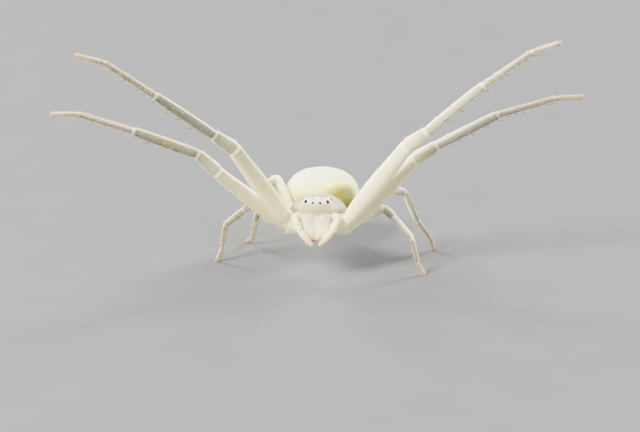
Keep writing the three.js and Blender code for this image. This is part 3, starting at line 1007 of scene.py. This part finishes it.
def add_pad(centre, half, colours):
    """An ellipsoid of soft flesh between harder parts."""
    turns = angles_between(-QUARTER_TURN, QUARTER_TURN, 30)[:, None]
    angle = angles_around(48)[None]
    across, up = np.cos(turns) * np.cos(angle), np.cos(turns) * np.sin(angle)
    ball = np.stack([np.sin(turns) + 0 * angle, across, up], -1)
    add_flesh(*closed(from_body(centre + ball * half)), colours)


# The face below the eyes runs on into the jaws, and soft skin joins them, and the head to the hips
add_pad((0, -1.42, -0.04), (0.64, 0.2, 0.24), shade(HEAD_COLOURS, [0.55], gloss=0.4))
add_pad((0, -1.44, -0.6), (0.2, 0.17, 0.62), shade(JAW_COLOURS, [0.5]))
add_pad((0, -0.05, -0.36), (1.42, 1.34, 0.4), shade(LEG_COLOURS, [0.55]))

# Sternum, between the legs' roots

share = smooth(STERNUM_OUTLINE, np.linspace(0, 1, 24))
lengthwise = np.linspace(STERNUM["front"], STERNUM["back"], 24)
plan = [
    (y, STERNUM["half"] * s, STERNUM["top"], STERNUM["bottom"] + STERNUM_THINNING * (1 - s))
    for y, s in zip(lengthwise, share)
]
sternum = body_rings(plan, lambda top, bottom: STERNUM["widest"], STERNUM_FULLNESS, around=48, steps=30)
add_flesh(*closed(from_body(eased(sternum, 3))), shade(HEAD_COLOURS, [0.9]), "sternum")

# Eyes: pale mounds with dark lenses


def lathe(profile, centre, way):
    """A surface of turned rings: radius and height pairs about an axis."""
    side = unit(np.cross(way, [0.3, 0.2, 1.0]))
    ring = circle(MOUND_AROUND, side, np.cross(way, side))
    return np.stack([centre + height * way + radius * ring for radius, height in profile])


mound_tones = np.repeat([[tone] for *_, tone in MOUND_PROFILE], MOUND_AROUND, 1)
mound_colours = shade(MOUND_COLOURS, with_ends(mound_tones))
for node, (centre, way, lens, mound) in eyes.items():
    spot, out = from_body(centre), BODY @ way
    name = node.removeprefix("eye_")
    low = -EYE_STANDS_OUT * lens
    profile = [(m * mound + n * lens, low + height * mound) for m, n, height, tone in MOUND_PROFILE]
    rings = lathe(profile, spot, out)
    add_piece(f"mound_{name}", *closed(rings), SKIN_MATERIAL, "head_skin", colours=mound_colours)
    ball = [(lens * math.cos(t), lens * math.sin(t)) for t in angles_between(-QUARTER_TURN, QUARTER_TURN, 12)]
    add_piece(f"lens_{name}", *closed(lathe(ball, spot, out)), LENS_MATERIAL, "eye_lens", [node])

# Jaws, fangs and mouthparts


def jaw_ring(side, x, y, z, half, depth):
    angle = angles_around(JAW_AROUND)
    c, s = rounded(np.cos(angle), JAW_ROUNDNESS), rounded(np.sin(angle), JAW_ROUNDNESS)
    return np.stack([side * (x + half * c), y + depth * s, np.full(JAW_AROUND, z)], 1)


for side_name, side in SIDES.items():
    rows = list(smooth(JAW, np.linspace(0, 1, JAW_AROUND)))
    x, y, z, half, depth = rows[-1]
    for turn in angles_between(0, QUARTER_TURN, 4):
        rows.append((x, y, z - 0.08 * math.sin(turn), half * math.cos(turn), depth * math.cos(turn)))
    rings = eased(np.stack([jaw_ring(side, *row) for row in rows]), 2)
    tone = np.clip((rings[..., 2] + 1.4) / 1.1, 0, 1)
    colours = shade(JAW_COLOURS, with_ends(tone))
    # A paler line down the inner edge
    places = closed(rings)[0]
    pale = 0.75 * bell(places[:, 0], 0.05) * (places[:, 2] < -0.35)
    colours[:, :3] += pale[:, None] * (JAW_LINE_COLOUR - colours[:, :3])
    add_flesh(*closed(from_body(rings)), colours, f"chelicera_{side_name}")
    radii = [FANG_RADIUS, FANG_RADIUS * 0.7]
    fang = Tube(on_side(FANG_JOINTS, side), radii, FANG_SWELLING, sides=16, waist=1.0)
    rings = fang.rings()
    add_piece(f"fang_horn_{side_name}", *closed(rings), FANG_MATERIAL, "fang", [f"fang_{side_name}"])

mouth = from_body([(0, -0.98, -0.6), (0, -1.06, -1.14)])
mouth = Tube(mouth, [0.12], [[1.2, 1.1, 0.9]], sides=28, waist=1.0, flatness=2.5)
add_flesh(*closed(mouth.rings()), shade(JAW_COLOURS, [0.4]), "mouthparts")

# Palps

for side_name, side in SIDES.items():
    joints = on_side(PALP_JOINTS, side)
    tube = Tube(joints, PALP_RADII, PALP_SWELLING, sides=24, waist=0.9, flatness=0.92, bend=0.07)
    ends = np.min(np.abs(tube.s[:, None] - tube.reach[None, 1:4]), axis=1)
    # Painted rim light, pale on top and below, as on the legs
    painted_rim_light = np.abs(np.sin(angles_around(tube.sides))) ** 4
    tone = 0.62 + 0.25 * painted_rim_light + 0.2 * bell(ends, 0.05)[:, None]
    warm = 0.4 * bell(tube.s - tube.length, 0.35)
    colours = shade(LEG_COLOURS, tube.spread(tone), tube.spread(warm))
    add_flesh(*closed(tube.rings()), colours, f"pedipalp_{side_name}")
    for coat, number, size, radius in ((hairs, 170, 0.13, 0.008), (brown, 34, 0.1, 0.015)):
        s = tube.length * rng.uniform(0.3, 1.0, number)
        angle = rng.uniform(0, TURN, number)
        grow_along(tube, strip, coat, s, angle, size * rng.uniform(0.6, 1.4, number), radius, lean=0.5)
    s = tube.length * rng.uniform(0.42, 0.95, 60)
    spots, normals, along = tube.at(s, rng.uniform(0, TURN, 60))
    inner = normals @ (-side, -0.7, 0.1) > 0.75
    marks += [(spot, rng.uniform(0.03, 0.042), DOT_COLOUR, 0) for spot in spots[inner][:9]]
    strip += 1
marks += [(from_body(spot), 0.033, DOT_COLOUR, 0) for spot in ((0.24, -1.73, -0.5), (-0.36, -1.7, -0.75))]

# Abdomen, waist and spinnerets

abdomen = body_rings(
    ABDOMEN_PLAN,
    lambda top, bottom: bottom + ABDOMEN_WIDEST_AT * (top - bottom),
    ABDOMEN_FULLNESS,
    around=112,
    steps=100,
    front_bulge=0.04,
    rear_bulge=0.04,
)
abdomen = eased(abdomen, 8)
outward = outward_normals(abdomen)
x, y, z = np.moveaxis(abdomen, -1, 0)
# Shallow pits where muscles pull the skin in, and folds along the flanks
sunk = sum(PIT_DEPTH * np.exp(-((x - px) ** 2 + (y - py) ** 2) / PIT_SPREAD) for px, py in PITS) * (z > 0.8)
folds = 0.012 * np.sin(9 * z + 1.5 * np.sin(2 * y)) * bell(z - 0.3, 0.55) * (np.abs(x) > 0.8)
abdomen = abdomen + outward * (folds - sunk)[..., None]
# Milky above and darker lower down, yellow-green low on the front, most of all on the spider's own left:
# partly the flanks' own green, partly painted shade on the side turned from the light
tone = 0.9 + 0.1 * np.clip((z - 0.9) / 0.6, -1, 1)
white_down_to = 0.92 + 0.12 * x + 0.05 * np.sin(7 * x) * np.sin(5 * y)
green_and_painted_shade = bell(y - 2.0, 0.85) * below(z - white_down_to, 0.17)
tone -= 0.88 * green_and_painted_shade * (0.45 + 0.55 * below(0.3 - x, 0.25))
# Painted form shadow, darker low on the spider's left flank
tone -= 0.3 * bell(y - 2.3, 1.1) * below(0.95 - x, 0.2) * below(z - 1.3, 0.15)
tone = np.maximum(tone, 0.04)
colours = shade(ABDOMEN_COLOURS, with_ends(tone), gloss=0.0)
upper = abdomen[z > 0.8]
for spot in PITS:
    place = upper[np.argmin(np.linalg.norm(upper[:, :2] - spot, axis=1))]
    marks.append((from_body(place), PIT_RADIUS, PIT_COLOUR, PIT_DEPTH))
add_flesh(*closed(from_body(abdomen)), colours, "abdomen")

waist = Tube(from_body([(0, 1.2, -0.04), (0, 2.0, -0.04)]), [0.2], [[1, 0.9, 1]], sides=28, waist=1.0)
add_flesh(*closed(waist.rings()), shade(HEAD_COLOURS, [0.6]), "pedicel")

cones = []
for root, tip, radius in SPINNERETS:
    for side in SIDES.values():
        cone = Tube(on_side([root, tip], side), [radius], [[1, 0.92, 0.35]], sides=16, waist=1.0)
        cones.append(closed(cone.rings()))
        s = rng.uniform(0.3, 1, 24) * cone.length
        angle = rng.uniform(0, TURN, 24)
        grow_along(cone, ABDOMEN_STRIP, hairs, s, angle, length=0.12, radius=0.007, lean=0.6)
add_flesh(*joined(cones), shade(ABDOMEN_COLOURS, [0.7], gloss=0.5), "spinnerets")

# Short hairs of head and abdomen

skin_hairs = Coat("body_hairs", PALE_HAIR, "abdomen_skin")


def grow_on(rings, number, length, radius, lean, strip, keep, back=(0, 1, 0)):
    """Hairs at random places of a grid, where keep says yes, leaning along the body."""
    normals = outward_normals(rings)
    rows = rng.integers(3, rings.shape[0] - 3, number * 4)
    columns = rng.integers(0, rings.shape[1], number * 4)
    picked = [k for k in range(number * 4) if keep(*rings[rows[k], columns[k]])][:number]
    rows, columns = rows[picked], columns[picked]
    spots, out = rings[rows, columns], normals[rows, columns]
    flat = back - out * (out @ back)[:, None]
    lengths = length * rng.uniform(0.6, 1.3, len(spots))
    maps = strip_map(strip, rows / rings.shape[0], TURN * columns / rings.shape[1])
    skin_hairs.grow(from_body(spots), out @ BODY.T, flat @ BODY.T, lengths, radius, lean, maps)


grow_on(abdomen, 600, 0.08, 0.005, 0.6, ABDOMEN_STRIP, lambda x, y, z: y > 2.5 or z > 1.2)
grow_on(carapace, 60, 0.13, 0.009, 0.4, HEAD_STRIP, lambda x, y, z: z > 0.3)
grow_on(carapace, 22, 0.16, 0.01, 0.3, HEAD_STRIP, lambda x, y, z: y < -1.3 and z > 0.1, back=(0, -0.3, -1))

# The one skin, and the hairs rooted in it

points, faces, tint = joined_flesh()
points[:, 2] = np.maximum(points[:, 2], 0)
nodes = [node for part in flesh for node in part[3]]
add_piece("skin", points, faces, SKIN_MATERIAL, "leg_skin", nodes, tint)
skin = BVHTree.FromPolygons(points.tolist(), faces)
for coat in (hairs, golden, bristles, spines, brown, skin_hairs):
    coat.finish(skin)

# Camera, from the photograph's view: the face's middle lies at this pixel of a 640 x 432 frame

FRAME_WIDTH, FRAME_HEIGHT = 640, 432
FACE = np.array([-0.05, -2.37, 3.84])
FACE_PIXEL = (315.6, 203.0)
PIXELS_PER_MM = 20.5
CAMERA_UP = math.radians(17)
CAMERA_DISTANCE = 150.0
SENSOR_WIDTH = 36

forward = np.array([0, math.cos(CAMERA_UP), -math.sin(CAMERA_UP)])
upward = np.array([0, math.sin(CAMERA_UP), math.cos(CAMERA_UP)])
across = (FRAME_WIDTH / 2 - FACE_PIXEL[0]) / PIXELS_PER_MM
above = (FRAME_HEIGHT / 2 - FACE_PIXEL[1]) / PIXELS_PER_MM
target = FACE + across * np.array([1, 0, 0]) - above * upward
camera = linked("camera", bpy.data.cameras.new("camera"))
camera.location = (target - CAMERA_DISTANCE * forward) * MM
camera.rotation_euler = (QUARTER_TURN - CAMERA_UP, 0, 0)
camera.data.sensor_width = SENSOR_WIDTH
camera.data.lens = SENSOR_WIDTH * PIXELS_PER_MM * CAMERA_DISTANCE / FRAME_WIDTH
camera.data.clip_start = 0.001
camera.data.clip_end = 20
bpy.context.scene.camera = camera

# Floor and lights, in metres

FLOOR_HALF = 1.5
LIGHT_AIM = (0, 0, 0.005)

floor_material, shader = cloudy("floor", 300, [(0.3, (0.08, 0.082, 0.085)), (0.7, (0.089, 0.091, 0.095))])
set_inputs(shader, Roughness=0.85)
floor_mesh = bpy.data.meshes.new("floor")
corners = [(x * FLOOR_HALF, y * FLOOR_HALF, 0) for x, y in ((-1, -1), (1, -1), (1, 1), (-1, 1))]
floor_mesh.from_pydata(corners, [], [(0, 1, 2, 3)])
floor_mesh.materials.append(floor_material)
floor = linked("floor", floor_mesh)


def area_light(name, place, size, energy, colour=(1, 1, 1)):
    light = bpy.data.lights.new(name, "AREA")
    light.shape = "DISK"
    light.size = size
    light.energy = energy
    light.color = colour
    lamp = linked(name, light)
    lamp.location = place
    lamp.rotation_euler = Vector(np.subtract(LIGHT_AIM, place)).to_track_quat("-Z", "Y").to_euler()


area_light("key", (-0.14, -0.15, 0.17), 0.1, 3.9, (1.0, 0.97, 0.89))
area_light("fill", (0.2, -0.15, 0.09), 0.2, 0.7, (1.0, 0.99, 0.97))
area_light("rim_left", (-0.16, 0.16, 0.1), 0.08, 1.6)
area_light("rim_right", (0.17, 0.15, 0.1), 0.08, 2.0)

world = bpy.data.worlds.new("soft_room")
bpy.context.scene.world = world
world.use_nodes = True
set_inputs(world.node_tree.nodes["Background"], Color=(0.86, 0.85, 0.83, 1), Strength=0.4)
